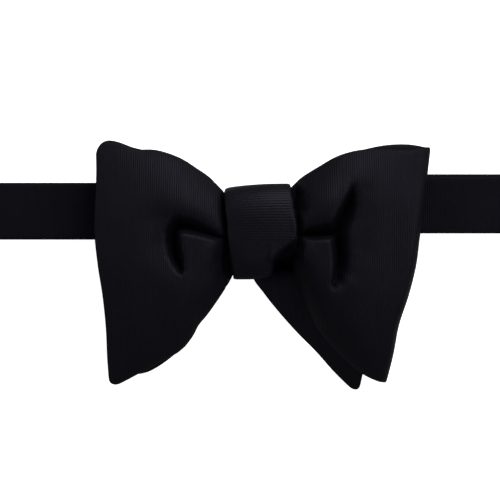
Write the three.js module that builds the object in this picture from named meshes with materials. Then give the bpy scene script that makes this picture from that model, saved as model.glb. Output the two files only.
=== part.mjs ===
// A butterfly bow tie, tied and laid face up on its back. Millimetres, Z up.
// X runs along the neckband and Y points to the top of the bow. The origin is the knot's centre
// on the surface below. Every cloth piece is a thin closed wall around a middle sheet, worked out
// from the short tables of sections below.
import * as THREE from "three";

// Cloth
const WALL = 1.4; // folded silk with its interlining
const ON_SURFACE = WALL / 2; // middle height of cloth that lies on the surface

// Neckband: one loop of cloth, laid flat, that passes through the knot
const BAND_WIDTH = 21.2;
const BAND_WIDTH_IN_KNOT = 16;
const BAND_LEFT_END = -104;
const BAND_RIGHT_END = 100;
const BAND_RISE = { inKnot: 4.9, atEnds: 7.7, from: 12, to: 60 }; // middle height of the front run
const FRONT_RUN_Y = { left: 7.9, inKnot: 3, right: 10.1 };
const BACK_RUN_Y = { left: 7.8, inKnot: 3.2, right: 11.3 };
const BAND_DIP = 22; // length over which the runs come down behind the knot
const BAND_CELLS = 2;
const BAND_STEP = 6;
const BEND_STEPS = 6;

// Clasp: a plain plate over the two ends of the back run, with a web between them
const CLASP = { x: 44, length: 16, width: 20, plate: 1, web: 3 };
const SEAT = 0.3; // clearance where two pieces touch

// Knot: a ring of cloth round both bows and the front run
const KNOT = { backZ: 2.75, frontZ: 21.6, topY: 17.4, bottomY: -17.0, barrel: 1.3, topLeftDrop: 2.4 };
const KNOT_FRONT_ROUND = 2.4; // exponents of the ring's section: 2 is an ellipse, more is boxier
const KNOT_BACK_ROUND = 4;
const KNOT_AROUND = 40;
const KNOT_CELLS = 8;

// The wrap's two edges as it turns: 0 top, 90 front, 180 bottom, 270 back (degrees)
const KNOT_EDGES = table(["angle", "leftX", "rightX"], [
  [0, -10.4, 10.8],
  [30, -12.3, 12.0],
  [60, -11.8, 13.1],
  [90, -11.0, 14.3],
  [112, -10.4, 12.2],
  [132, -10.0, 6.6],
  [150, -9.6, 5.2],
  [164, -9.4, 3.6],
  [180, -9.3, -3.3],
  [230, -9.2, -3.3],
  [270, -9.4, 5.0],
  [325, -9.8, 8.6],
]);

// Sections of the two wings of a bow strip, from the knot outwards. Each row is one section:
// where its top and bottom edges lie, and how high its wall stands at top, middle and bottom.
const BLADE_COLUMNS = ["topX", "topY", "bottomX", "bottomY", "top", "middle", "bottom"];
const LOOP_COLUMNS = [
  "topX", "topY", "bottomX", "bottomY",
  "frontTop", "frontMiddle", "frontBottom",
  "rearTop", "rearMiddle", "rearBottom", "mouth",
];

// Front strip: an open loop on the right and a flat blade on the left
const FRONT_LOOP = table(LOOP_COLUMNS, [
  [0.0, 12.2, 0.0, -9.8, 13.6, 17.6, 13.4, 10.9, 10.9, 10.9, 0],
  [7.5, 12.6, 7.5, -9.0, 13.6, 17.2, 13.2, 11.0, 11.0, 11.0, 0],
  [11.6, 14.0, 12.6, -8.8, 13.6, 16.2, 13.0, 11.0, 11.1, 10.9, 0],
  [15.8, 19.8, 14.2, -16.0, 15.0, 20.0, 13.0, 11.4, 11.7, 10.8, 0],
  [22.6, 24.1, 17.2, -25.4, 17.0, 23.8, 13.2, 12.0, 12.4, 10.4, 0],
  [30.0, 28.2, 22.6, -36.0, 18.8, 26.2, 13.2, 12.4, 12.9, 9.2, 0],
  [38.6, 30.4, 30.1, -44.7, 20.2, 26.6, 12.2, 12.6, 13.1, 7.8, 0.2],
  [47.4, 30.7, 38.2, -52.2, 20.8, 25.6, 10.8, 12.7, 13.1, 6.8, 1.6],
  [56.0, 30.8, 44.0, -55.4, 20.4, 23.6, 9.2, 12.6, 12.9, 5.6, 1.9],
  [63.5, 31.5, 47.5, -56.4, 19.4, 21.6, 7.8, 12.6, 12.8, 4.4, 0],
]);
const FRONT_BLADE = table(BLADE_COLUMNS, [
  [0.0, 12.2, 0.0, -9.8, 13.6, 17.6, 13.4],
  [-7.5, 12.0, -7.0, -12.2, 13.6, 17.2, 13.4],
  [-12.4, 12.6, -10.3, -16.2, 13.6, 16.2, 13.2],
  [-16.9, 18.8, -13.8, -23.1, 15.2, 20.0, 13.4],
  [-22.7, 23.0, -18.5, -29.9, 16.6, 23.4, 13.6],
  [-28.8, 26.5, -23.6, -36.3, 17.6, 25.2, 13.4],
  [-33.6, 28.6, -24.8, -40.0, 18.2, 25.6, 12.8],
  [-39.4, 29.7, -29.4, -44.4, 18.6, 25.2, 11.8],
  [-46.0, 31.2, -37.4, -48.8, 18.8, 24.2, 10.4],
  [-52.8, 33.6, -46.7, -54.0, 18.6, 22.6, 8.6],
  [-60.3, 34.4, -55.7, -58.8, 17.8, 20.8, 6.6],
]);

// Back strip: a closed loop on the left and a flat blade on the right, both behind the front strip
const BACK_LOOP = table(LOOP_COLUMNS, [
  [2.0, 12.2, -6.5, -12.8, 8.9, 8.9, 8.9, 6.7, 6.7, 6.7, 0],
  [-6.0, 12.1, -8.2, -12.8, 8.9, 9.0, 8.9, 6.8, 6.8, 6.8, 0],
  [-12.4, 12.6, -10.4, -15.0, 9.6, 9.8, 9.4, 7.4, 7.4, 7.2, 0],
  [-17.2, 19.5, -13.8, -22.5, 11.2, 13.4, 10.4, 8.6, 9.0, 7.6, 0],
  [-22.9, 23.7, -19.0, -29.9, 12.8, 17.0, 10.6, 9.0, 9.6, 7.2, 0],
  [-29.6, 27.8, -25.2, -38.6, 14.2, 19.4, 10.2, 9.4, 10.0, 5.6, 0],
  [-38.0, 30.5, -31.8, -46.1, 14.8, 19.6, 8.6, 9.8, 10.2, 3.2, 0],
  [-46.0, 30.5, -40.7, -52.1, 14.8, 18.4, 6.4, 10.0, 10.2, 1.4, 0],
  [-53.0, 30.0, -47.8, -53.2, 14.2, 16.8, 4.6, 10.0, 10.1, ON_SURFACE, 0],
  [-58.2, 29.0, -53.2, -51.9, 13.6, 15.6, 3.4, 10.0, 10.0, ON_SURFACE, 0],
]);
const BACK_BLADE = table(BLADE_COLUMNS, [
  [2.0, 12.2, -6.5, -12.8, 8.9, 8.9, 8.9],
  [8.4, 12.6, -2.6, -13.6, 8.7, 8.7, 8.3],
  [12.6, 13.6, -1.4, -18.0, 8.7, 8.6, 7.6],
  [16.8, 18.8, 2.3, -23.0, 8.9, 8.7, 6.8],
  [22.8, 22.2, 7.8, -29.9, 9.3, 9.1, 5.8],
  [29.6, 25.4, 14.5, -37.4, 9.7, 9.6, 4.6],
  [37.0, 27.7, 22.1, -45.1, 10.0, 10.0, 2.8],
  [44.6, 28.9, 29.1, -52.9, 10.0, 10.1, 1.3],
  [52.8, 29.4, 37.8, -61.4, 10.0, 10.1, ON_SURFACE],
]);

// How far each outer edge bows out from the straight line between its corners, in mm,
// from the bottom corner to the top one at equal steps
const EDGE_BOW = {
  frontLoop: [0, 0.4, 0.3, 1.8, 2.5, 1.9, 1.6, 0.7, 0],
  frontBlade: [0, -0.1, -0.4, 0.1, 1.3, 1.9, 1.0, 0.2, 0],
  backLoop: [0, 0.6, 1.0, 1.4, 1.8, 1.8, 1.4, 0.8, 0],
  backBlade: [0, 0.4, 1.3, 2.1, 2.6, 2.9, 2.5, 1.4, 0],
};
const BOW_REACH = 0.3; // share of the wing over which the edge's bow fades out
const CORNER = { frontBladeTop: 4.8, frontBladeBottom: 4.2, backBladeTop: 4, backBladeBottom: 3.8 };
const FOLD_ROUND = 2.6; // how far from its edge a loop's fold is round
const CROWN = 2.6; // exponent of a section's rise from its edges to its middle

// Folds pressed into the front walls: depth and half width in mm along a short path
const LEFT_FOLDS = [
  { depth: 3.4, width: 4.8, path: [[-12.3, -2], [-21.6, 1.9], [-28.5, 4.2], [-32.6, 4.4]] },
  { depth: 2.6, width: 4.6, path: [[-33.2, 3.6], [-32.2, -0.5], [-30.4, -6], [-27.6, -13.5]] },
];
const RIGHT_FOLDS = [
  { depth: 4.2, width: 4.8, path: [[14.6, -0.6], [20.8, -0.1], [27.5, 1.9], [31.6, 5.8], [36.8, 16.7]] },
  { depth: 3.6, width: 4.6, path: [[28.3, 0.4], [31.8, -6], [32.7, -12.6], [29.8, -18.2]] },
];
const FOLD_BLEND = 4;

// Facets
const ROWS_ACROSS = 15;
const WALL_STATIONS = 18;
const FOLD_STATIONS = 4;

const SILK = 0x15151b;

function table(columns, rows) {
  return rows.map((row) => Object.fromEntries(columns.map((name, i) => [name, row[i]])));
}

const mix = (a, b, share) => a + (b - a) * share;

function smooth(from, to, value) {
  const share = Math.min(1, Math.max(0, (value - from) / (to - from)));
  return share * share * (3 - 2 * share);
}

// A smooth curve through equally spaced values, at a share of its length
function curve(values, share) {
  const last = values.length - 1;
  const i = Math.min(last - 1, Math.floor(share * last));
  const f = share * last - i;
  const at = (k) => {
    if (k < 0) return 2 * values[0] - values[1];
    if (k > last) return 2 * values[last] - values[last - 1];
    return values[k];
  };
  const [a, b, c, d] = [at(i - 1), at(i), at(i + 1), at(i + 2)];
  const bend = 2 * a - 5 * b + 4 * c - d + (3 * b - a - 3 * c + d) * f;
  return b + 0.5 * f * (c - a + f * bend);
}

const column = (rows, name, share) => curve(rows.map((row) => row[name]), share);

function distanceToPath(x, y, path) {
  let nearest = Infinity;
  for (let i = 1; i < path.length; i += 1) {
    const [ax, ay] = path[i - 1];
    const [bx, by] = path[i];
    const run = (bx - ax) ** 2 + (by - ay) ** 2;
    const share = Math.min(1, Math.max(0, ((x - ax) * (bx - ax) + (y - ay) * (by - ay)) / run));
    nearest = Math.min(nearest, Math.hypot(x - mix(ax, bx, share), y - mix(ay, by, share)));
  }
  return nearest;
}

// Where two folds meet, the surface follows the deeper one instead of adding them up
function foldDepth(x, y, folds) {
  const depths = folds.map(({ depth, width, path }) => (
    depth * Math.exp(-((distanceToPath(x, y, path) / width) ** 2))
  ));
  return depths.reduce((sum, depth) => sum + depth ** FOLD_BLEND, 0) ** (1 / FOLD_BLEND);
}

// How far a rounded corner takes an edge in, at a distance from the sheet's end
function cornerInset(radius, distance) {
  if (distance >= radius) return 0;
  return radius - Math.sqrt(radius ** 2 - (radius - distance) ** 2);
}

// How long a wing would be in mm if all its sections were as far apart as the last two
function endScale(rows) {
  const [before, last] = rows.slice(-2);
  return (rows.length - 1) * Math.hypot(
    (last.topX + last.bottomX - before.topX - before.bottomX) / 2,
    (last.topY + last.bottomY - before.topY - before.bottomY) / 2,
  );
}

// A point of one wall of a wing: out from the knot (0 to 1) and across from bottom to top (0 to 1).
// The wing's heights are the columns top, middle and bottom, after the wall's name.
function wallPoint(wing, out, across) {
  const { rows, heights, folds, bow, corners, mouth } = wing;
  const top = {
    x: column(rows, "topX", out),
    y: column(rows, "topY", out) + (mouth ? column(rows, "mouth", out) : 0),
  };
  const bottom = { x: column(rows, "bottomX", out), y: column(rows, "bottomY", out) };
  const height = Math.hypot(top.x - bottom.x, top.y - bottom.y);
  const toEnd = (1 - out) * endScale(rows);
  const lowest = cornerInset(corners.bottom, toEnd) / height;
  const highest = 1 - cornerInset(corners.top, toEnd) / height;
  const share = mix(lowest, highest, across);
  const bowed = curve(bow, share) * smooth(1 - BOW_REACH, 1, out) * wing.side;
  const x = mix(bottom.x, top.x, share) + bowed;
  const y = mix(bottom.y, top.y, share);
  const [low, middle, high] = heights.map((name) => column(rows, name, out));
  const fromMiddle = Math.abs(2 * share - 1) ** CROWN;
  const level = mix(middle, share < 0.5 ? low : high, fromMiddle);
  const z = Math.max(ON_SURFACE, level - (folds ? foldDepth(x, y, folds) : 0));
  return new THREE.Vector3(x, y, z);
}

// A folded loop: from its start in the knot along the rear wall, round the fold, and back
function loopStations(front, rear) {
  const stations = [];
  const scale = endScale(front.rows);
  const straight = 1 - FOLD_ROUND / scale;
  const outs = [];
  for (let i = 0; i < WALL_STATIONS; i += 1) outs.push((straight * i) / WALL_STATIONS);
  for (let i = 0; i < FOLD_STATIONS; i += 1) {
    const angle = (Math.PI / 2) * (1 - i / FOLD_STATIONS);
    outs.push(1 - (FOLD_ROUND * (1 - Math.cos(angle))) / scale);
  }
  const station = (out, side) => (across) => {
    const a = wallPoint(front, out, across);
    const b = wallPoint(rear, out, across);
    const toEdge = Math.min(1, ((1 - out) * scale) / FOLD_ROUND);
    const open = Math.sqrt(1 - (1 - toEdge) ** 2) * side;
    return a.clone().add(b).multiplyScalar(0.5).addScaledVector(a.sub(b), open / 2);
  };
  for (const out of outs) stations.push(station(out, -1));
  stations.push(station(1, 0));
  for (const out of outs.reverse()) stations.push(station(out, 1));
  return stations;
}

function bladeStations(blade) {
  const stations = [];
  const rounded = 1 - Math.max(blade.corners.top, blade.corners.bottom) / endScale(blade.rows);
  for (let i = 1; i <= WALL_STATIONS; i += 1) {
    const out = (rounded * i) / WALL_STATIONS;
    stations.push((across) => wallPoint(blade, out, across));
  }
  for (let i = 1; i <= FOLD_STATIONS; i += 1) {
    const out = mix(rounded, 1, Math.sin((Math.PI / 2) * (i / FOLD_STATIONS)));
    stations.push((across) => wallPoint(blade, out, across));
  }
  return stations;
}

function sheetOf(stations, cells) {
  return stations.map((station) => {
    const points = [];
    for (let j = 0; j <= cells; j += 1) points.push(station(j / cells));
    return points;
  });
}

// A closed wall around a sheet of points: both faces and the rims. A ring joins its last row
// to its first.
function wallAround(sheet, thickness, { ring = false } = {}) {
  const rows = sheet.length;
  const cols = sheet[0].length;
  const row = (i) => (ring ? (i + rows) % rows : Math.min(rows - 1, Math.max(0, i)));
  const col = (j) => Math.min(cols - 1, Math.max(0, j));
  const positions = [];
  for (const side of [0.5, -0.5]) {
    for (let i = 0; i < rows; i += 1) {
      for (let j = 0; j < cols; j += 1) {
        const along = sheet[row(i + 1)][j].clone().sub(sheet[row(i - 1)][j]);
        const across = sheet[i][col(j + 1)].clone().sub(sheet[i][col(j - 1)]);
        const normal = along.cross(across).normalize();
        const p = sheet[i][j].clone().addScaledVector(normal, side * thickness);
        positions.push(p.x, p.y, p.z);
      }
    }
  }
  const index = [];
  const under = rows * cols;
  const id = (i, j) => row(i) * cols + j;
  const quad = (a, b, c, d) => index.push(a, b, c, a, c, d);
  const lastRow = ring ? rows : rows - 1;
  for (let i = 0; i < lastRow; i += 1) {
    for (let j = 0; j < cols - 1; j += 1) {
      quad(id(i, j), id(i + 1, j), id(i + 1, j + 1), id(i, j + 1));
      quad(under + id(i, j), under + id(i, j + 1), under + id(i + 1, j + 1), under + id(i + 1, j));
    }
    quad(id(i, 0), under + id(i, 0), under + id(i + 1, 0), id(i + 1, 0));
    const end = cols - 1;
    quad(id(i, end), id(i + 1, end), under + id(i + 1, end), under + id(i, end));
  }
  if (!ring) {
    for (let j = 0; j < cols - 1; j += 1) {
      quad(id(0, j), id(0, j + 1), under + id(0, j + 1), under + id(0, j));
      const end = rows - 1;
      quad(id(end, j), under + id(end, j), under + id(end, j + 1), id(end, j + 1));
    }
  }
  const geometry = new THREE.BufferGeometry();
  geometry.setAttribute("position", new THREE.Float32BufferAttribute(positions, 3));
  geometry.setIndex(index);
  return geometry;
}

const SHARP = { top: 0, bottom: 0 };
const FRONT_HEIGHTS = ["frontBottom", "frontMiddle", "frontTop"];
const REAR_HEIGHTS = ["rearBottom", "rearMiddle", "rearTop"];
const BLADE_HEIGHTS = ["bottom", "middle", "top"];

function bowStrip(loop, blade) {
  const shared = { rows: loop.rows, bow: loop.bow, side: loop.side, corners: SHARP };
  const front = { ...shared, heights: FRONT_HEIGHTS, folds: loop.folds };
  const rear = { ...shared, heights: REAR_HEIGHTS, mouth: true };
  const stations = [...loopStations(front, rear), ...bladeStations(blade)];
  return wallAround(sheetOf(stations, ROWS_ACROSS), WALL);
}

function frontBow() {
  return bowStrip(
    { rows: FRONT_LOOP, bow: EDGE_BOW.frontLoop, side: 1, folds: RIGHT_FOLDS },
    {
      rows: FRONT_BLADE,
      bow: EDGE_BOW.frontBlade,
      side: -1,
      folds: LEFT_FOLDS,
      heights: BLADE_HEIGHTS,
      corners: { top: CORNER.frontBladeTop, bottom: CORNER.frontBladeBottom },
    },
  );
}

function backBow() {
  return bowStrip(
    { rows: BACK_LOOP, bow: EDGE_BOW.backLoop, side: -1, folds: LEFT_FOLDS },
    {
      rows: BACK_BLADE,
      bow: EDGE_BOW.backBlade,
      side: 1,
      heights: BLADE_HEIGHTS,
      corners: { top: CORNER.backBladeTop, bottom: CORNER.backBladeBottom },
    },
  );
}

// The knot's wrap: a ring whose section is boxy behind and round in front
function knotPoint(turn, across) {
  const angle = turn * 2 * Math.PI;
  const place = KNOT_EDGES.findLastIndex((row) => row.angle <= turn * 360);
  const here = KNOT_EDGES[place];
  const next = KNOT_EDGES[(place + 1) % KNOT_EDGES.length];
  const span = (next.angle - here.angle + 360) % 360;
  const share = smooth(0, 1, (turn * 360 - here.angle) / span);
  const x = mix(mix(here.leftX, next.leftX, share), mix(here.rightX, next.rightX, share), across);
  const inFront = Math.sin(angle) >= 0;
  const power = 2 / (inFront ? KNOT_FRONT_ROUND : KNOT_BACK_ROUND);
  const part = (value) => Math.sign(value) * Math.abs(value) ** power;
  const middleY = (KNOT.topY + KNOT.bottomY) / 2;
  const middleZ = (KNOT.frontZ + KNOT.backZ) / 2;
  const barrel = inFront ? KNOT.barrel * (2 * across - 1) ** 2 : 0;
  const halfHeight = (KNOT.frontZ - KNOT.backZ) / 2 - barrel;
  const up = part(Math.cos(angle));
  const forward = part(Math.sin(angle));
  const slope = KNOT.topLeftDrop * (1 - across) ** 3 * Math.min(1, 1 + forward);
  const y = middleY + ((KNOT.topY - KNOT.bottomY) / 2) * up - slope * Math.max(0, up);
  return new THREE.Vector3(x, y, middleZ + halfHeight * forward);
}

function knot() {
  const stations = [];
  for (let i = 0; i < KNOT_AROUND; i += 1) {
    stations.push((across) => knotPoint(i / KNOT_AROUND, 1 - across));
  }
  return wallAround(sheetOf(stations, KNOT_CELLS), WALL, { ring: true });
}

const fromKnot = (x) => smooth(BAND_RISE.from, BAND_RISE.from + BAND_DIP, Math.abs(x));
const bandY = (run, x) => mix(run.inKnot, x < 0 ? run.left : run.right, fromKnot(x));

// The neckband's middle line: out along the back run, round each end and through the knot
function bandStations() {
  const bend = (BAND_RISE.atEnds - ON_SURFACE) / 2;
  const left = BAND_LEFT_END + bend;
  const right = BAND_RIGHT_END - bend;
  const line = [];
  const back = (x) => ({ x, z: ON_SURFACE, y: bandY(BACK_RUN_Y, x), width: BAND_WIDTH });
  const front = (x) => ({
    x,
    z: mix(BAND_RISE.inKnot, BAND_RISE.atEnds, smooth(BAND_RISE.from, BAND_RISE.to, Math.abs(x))),
    y: bandY(FRONT_RUN_Y, x),
    width: mix(BAND_WIDTH_IN_KNOT, BAND_WIDTH, fromKnot(x)),
  });
  const run = (from, to, place) => {
    const steps = Math.ceil(Math.abs(to - from) / BAND_STEP);
    for (let i = 0; i <= steps; i += 1) line.push(place(mix(from, to, i / steps)));
  };
  const turn = (centre, side, start, end) => {
    for (let i = 1; i < BEND_STEPS; i += 1) {
      const angle = Math.PI * (i / BEND_STEPS);
      line.push({
        x: centre + side * bend * Math.sin(angle),
        z: mix(start.z, end.z, (1 - Math.cos(angle)) / 2),
        y: mix(start.y, end.y, i / BEND_STEPS),
        width: BAND_WIDTH,
      });
    }
  };
  const slot = CLASP.web / 2 + SEAT;
  run(CLASP.x - slot, left, back);
  turn(left, -1, back(left), front(left));
  run(left, right, front);
  turn(right, 1, front(right), back(right));
  run(right, CLASP.x + slot, back);
  return line.map(({ x, y, z, width }) => (across) => (
    new THREE.Vector3(x, y + (across - 0.5) * width, z)
  ));
}

const neckband = () => wallAround(sheetOf(bandStations(), BAND_CELLS), WALL);

function clasp() {
  const underPlate = WALL + SEAT;
  const top = underPlate + CLASP.plate;
  const half = CLASP.length / 2;
  const web = CLASP.web / 2;
  const outline = [
    [-web, 0], [web, 0], [web, underPlate], [half, underPlate],
    [half, top], [-half, top], [-half, underPlate], [-web, underPlate],
  ];
  const shape = new THREE.Shape(outline.map(([x, z]) => new THREE.Vector2(x, z)));
  const plate = new THREE.ExtrudeGeometry(shape, { depth: CLASP.width, bevelEnabled: false });
  plate.translate(0, 0, -CLASP.width / 2);
  plate.rotateX(Math.PI / 2);
  return plate.translate(CLASP.x, bandY(BACK_RUN_Y, CLASP.x), 0);
}

const bowTie = new THREE.Group();

function add(name, geometry, { color = SILK, roughness = 0.55, metalness = 0 } = {}) {
  geometry.computeVertexNormals();
  const material = new THREE.MeshStandardMaterial({ color, roughness, metalness });
  const mesh = new THREE.Mesh(geometry, material);
  mesh.name = name;
  bowTie.add(mesh);
}

add("front_bow", frontBow());
add("back_bow", backBow());
add("knot", knot());
add("neckband", neckband());
add("neckband_clasp", clasp(), { color: 0x2a2a2e, roughness: 0.35, metalness: 0.9 });

export default bowTie;
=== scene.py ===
# %% [markdown]
# A butterfly bow tie, tied and laid face up.
# A real one is a long strip of ribbed silk. Each end is folded into a loop and a blade, one in
# front of the other, and a turn of the same cloth is wrapped round the middle. This lesson works
# as a maker does: it cuts each strip flat, with its ribs drawn on it, and then folds it into
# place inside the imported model, which is the frame and never moves.

# %% Load the frame
import math

import bmesh
import bpy
import numpy as np
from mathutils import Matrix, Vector, noise
from mathutils.bvhtree import BVHTree


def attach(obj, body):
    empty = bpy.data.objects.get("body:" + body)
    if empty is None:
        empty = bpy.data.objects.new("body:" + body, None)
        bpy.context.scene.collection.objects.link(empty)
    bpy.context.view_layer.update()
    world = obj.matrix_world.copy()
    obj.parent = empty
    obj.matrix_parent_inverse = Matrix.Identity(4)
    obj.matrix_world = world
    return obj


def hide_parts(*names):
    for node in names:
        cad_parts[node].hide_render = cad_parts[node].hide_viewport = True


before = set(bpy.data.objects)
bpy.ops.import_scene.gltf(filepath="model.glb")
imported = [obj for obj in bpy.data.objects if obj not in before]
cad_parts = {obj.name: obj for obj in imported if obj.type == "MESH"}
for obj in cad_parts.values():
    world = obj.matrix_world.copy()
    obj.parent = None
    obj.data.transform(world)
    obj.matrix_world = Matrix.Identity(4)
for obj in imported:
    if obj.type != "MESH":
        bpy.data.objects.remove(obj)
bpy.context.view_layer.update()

MM = 0.001

# %% [markdown]
# The photo looks straight down on the bow tie from far away, so its wings hide nothing of the
# band by perspective. A long lens a metre up gives that view. The picture is 186 mm wide, and
# its middle lies a little below and left of the knot.

# %% Camera
PICTURE_WIDTH = 186 * MM
CAMERA_HEIGHT = 1000 * MM
PICTURE_MIDDLE = Vector((-2.98, -6.7, 15)) * MM
SENSOR = 36

camera_data = bpy.data.cameras.new("photo_camera")
camera_data.sensor_width = SENSOR
camera_data.lens = SENSOR * CAMERA_HEIGHT / PICTURE_WIDTH
camera = bpy.data.objects.new("photo_camera", camera_data)
camera.location = PICTURE_MIDDLE + Vector((0, 0, CAMERA_HEIGHT))
bpy.context.scene.collection.objects.link(camera)
bpy.context.scene.camera = camera
print("lens", round(camera_data.lens), "mm")

# %% [markdown]
# Black silk shows its shape only by its sheen, so the light matters as much as the cloth. One
# broad lamp stands beyond the top edge, to the right, and picks out the shoulders of the wings
# and the top of the knot. The weaker ones keep the rest from going flat black. Colours are shown
# without a film curve, because the silk's darkest tones are what the picture is about.

# %% Light
LAMPS = {
    # name: place, size, power in watts
    "top_lamp": ((0.26, 0.76, 0.58), 0.45, 6.6),
    "left_lamp": ((-0.75, 0.20, 0.62), 0.55, 1.4),
    "right_lamp": ((0.80, 0.16, 0.62), 0.55, 3.1),
    "low_lamp": ((0.10, -0.75, 0.80), 0.55, 1.25),
}
ROOM_GREY = 0.19


def hang_lamp(name, place, size, power):
    lamp_data = bpy.data.lights.new(name, "AREA")
    lamp_data.shape = "DISK"
    lamp_data.size = size
    lamp_data.energy = power
    lamp = bpy.data.objects.new(name, lamp_data)
    lamp.location = place
    lamp.rotation_mode = "QUATERNION"
    lamp.rotation_quaternion = (Vector() - lamp.location).to_track_quat("-Z", "Y")
    bpy.context.scene.collection.objects.link(lamp)


for lamp_name, (lamp_place, lamp_size, lamp_power) in LAMPS.items():
    hang_lamp(lamp_name, lamp_place, lamp_size, lamp_power)

room = bpy.data.worlds.new("room")
room.use_nodes = True
room.node_tree.nodes["Background"].inputs["Color"].default_value = (ROOM_GREY,) * 3 + (1,)
bpy.context.scene.world = room
bpy.context.scene.view_settings.view_transform = "Standard"
print("lamps", len(LAMPS))

# %% [markdown]
# To the camera the floor is a lit white table, as the photo's ground is. Everything else sees a
# plain grey floor, which bounces only a dull light up into the cloth, so the edges and
# undersides of the silk stay black. All finishes start in the same way, so one helper makes a
# new material and hands back its nodes and its shader.

# %% Floor
FLOOR_WIDTH = 3.0
FLOOR_COLOUR = (0.86, 0.86, 0.86, 1)
FLOOR_BOUNCE = (0.3, 0.3, 0.3, 1)
FLOOR_GLOW = 0.9
FLOOR_ROUGHNESS = 0.9


def new_finish(name):
    material = bpy.data.materials.new(name)
    material.use_nodes = True
    return material, material.node_tree, material.node_tree.nodes["Principled BSDF"]


floor_shape = bmesh.new()
bmesh.ops.create_grid(floor_shape, x_segments=1, y_segments=1, size=FLOOR_WIDTH / 2)
floor_mesh = bpy.data.meshes.new("floor")
floor_shape.to_mesh(floor_mesh)
floor_shape.free()
floor = bpy.data.objects.new("floor", floor_mesh)
bpy.context.scene.collection.objects.link(floor)
floor_paint, floor_tree, floor_shader = new_finish("pale_floor")
seen = floor_tree.nodes.new("ShaderNodeLightPath").outputs["Is Camera Ray"]
floor_mix = floor_tree.nodes.new("ShaderNodeMix")
floor_mix.data_type = "RGBA"
floor_mix.inputs["A"].default_value = FLOOR_BOUNCE
floor_mix.inputs["B"].default_value = FLOOR_COLOUR
floor_glow = floor_tree.nodes.new("ShaderNodeMath")
floor_glow.operation = "MULTIPLY"
floor_glow.inputs[1].default_value = FLOOR_GLOW
floor_tree.links.new(seen, floor_mix.inputs["Factor"])
floor_tree.links.new(seen, floor_glow.inputs[0])
floor_tree.links.new(floor_mix.outputs["Result"], floor_shader.inputs["Base Color"])
floor_tree.links.new(floor_glow.outputs[0], floor_shader.inputs["Emission Strength"])
floor_shader.inputs["Roughness"].default_value = FLOOR_ROUGHNESS
floor_shader.inputs["Emission Color"].default_value = (1, 1, 1, 1)
floor_mesh.materials.append(floor_paint)
print("floor", FLOOR_WIDTH, "m wide")

# %% [markdown]
# Every fold of the bow is drawn from a few sections, as a pattern is. A smooth curve through
# equally spaced values joins them, and a smooth step blends one thing into another. They work on
# whole arrays at once, because each strip has tens of thousands of points. A table is written in
# rows, as it is easiest to read, and used by its columns.

# %% Curves


def mix(a, b, share):
    return a + (b - a) * share


def smooth(start, end, value):
    share = np.clip((value - start) / (end - start), 0, 1)
    return share * share * (3 - 2 * share)


def curve(values, share):
    values = np.asarray(values, float)
    before = 2 * values[0] - values[1]
    after = 2 * values[-1] - values[-2]
    padded = np.concatenate([[before], values, [after]])
    place = np.clip(share, 0, 1) * (len(values) - 1)
    i = np.minimum(place.astype(int), len(values) - 2)
    f = place - i
    a, b, c, d = (padded[i + k] for k in range(4))
    return b + 0.5 * f * (c - a + f * (2 * a - 5 * b + 4 * c - d + f * (3 * b - a - 3 * c + d)))


def columns(names, rows):
    return {name: [row[k] for row in rows] for k, name in enumerate(names.split())}


print("halfway between 0, 1 and 4:", curve([0, 1, 4], np.array([0.25, 0.75])).round(2))

# %% [markdown]
# The sections of the four wings, in millimetres, from the knot outwards. Each row is one section
# across the strip: where its top and bottom edges lie in the picture, and how high the cloth
# stands at its top edge, middle and bottom edge. A loop has a front wall and a rear wall, and the
# front strip's loop has an open mouth, where the top edge of its rear wall shows past the front.

# %% Sections of the wings
CLOTH = 1.4
ON_FLOOR = CLOTH / 2
BLADE = "top_x top_y bottom_x bottom_y top middle bottom"
LOOP = BLADE + " rear_top rear_middle rear_bottom mouth"

FRONT_LOOP = columns(LOOP, [
    (0.0, 12.2, 0.0, -9.8, 13.6, 17.6, 13.4, 10.9, 10.9, 10.9, 0),
    (7.5, 12.6, 7.5, -9.0, 13.6, 17.2, 13.2, 11.0, 11.0, 11.0, 0),
    (12.2, 16.6, 12.6, -8.8, 13.8, 18.2, 13.0, 11.0, 11.1, 10.9, 0),
    (15.8, 19.8, 14.2, -16.0, 15.4, 21.2, 13.4, 11.4, 11.7, 10.8, 0),
    (22.6, 24.1, 17.2, -25.4, 17.0, 23.8, 13.2, 12.0, 12.4, 10.4, 0),
    (30.0, 28.2, 22.6, -36.0, 18.8, 26.2, 13.2, 12.4, 12.9, 9.2, 0),
    (38.6, 30.4, 30.1, -44.7, 20.2, 26.6, 12.2, 12.6, 13.1, 7.8, 0.2),
    (47.4, 30.4, 38.2, -52.2, 20.8, 25.6, 10.8, 12.7, 13.1, 6.8, 2.0),
    (56.0, 30.3, 44.0, -55.4, 20.4, 23.6, 9.2, 12.6, 12.9, 5.6, 2.4),
    (63.5, 31.5, 47.5, -56.4, 19.4, 21.6, 7.8, 12.6, 12.8, 4.4, 0),
])
FRONT_BLADE = columns(BLADE, [
    (0.0, 12.2, 0.0, -9.8, 13.6, 17.6, 13.4),
    (-7.5, 12.0, -7.0, -12.2, 13.6, 17.2, 13.4),
    (-12.0, 14.2, -9.7, -16.5, 13.8, 18.4, 13.2),
    (-16.9, 18.8, -13.8, -23.1, 15.4, 21.2, 13.6),
    (-22.7, 23.0, -18.5, -29.9, 16.6, 23.4, 13.6),
    (-28.8, 26.5, -22.4, -34.8, 17.6, 25.2, 13.4),
    (-33.6, 28.6, -25.2, -39.8, 18.2, 25.6, 12.7),
    (-39.4, 29.7, -29.4, -44.4, 18.6, 25.2, 11.8),
    (-46.0, 31.2, -37.4, -48.8, 18.8, 24.2, 10.4),
    (-52.8, 33.6, -46.7, -54.0, 18.6, 22.6, 8.6),
    (-60.3, 34.4, -55.7, -58.8, 17.8, 20.8, 6.6),
])
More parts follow.
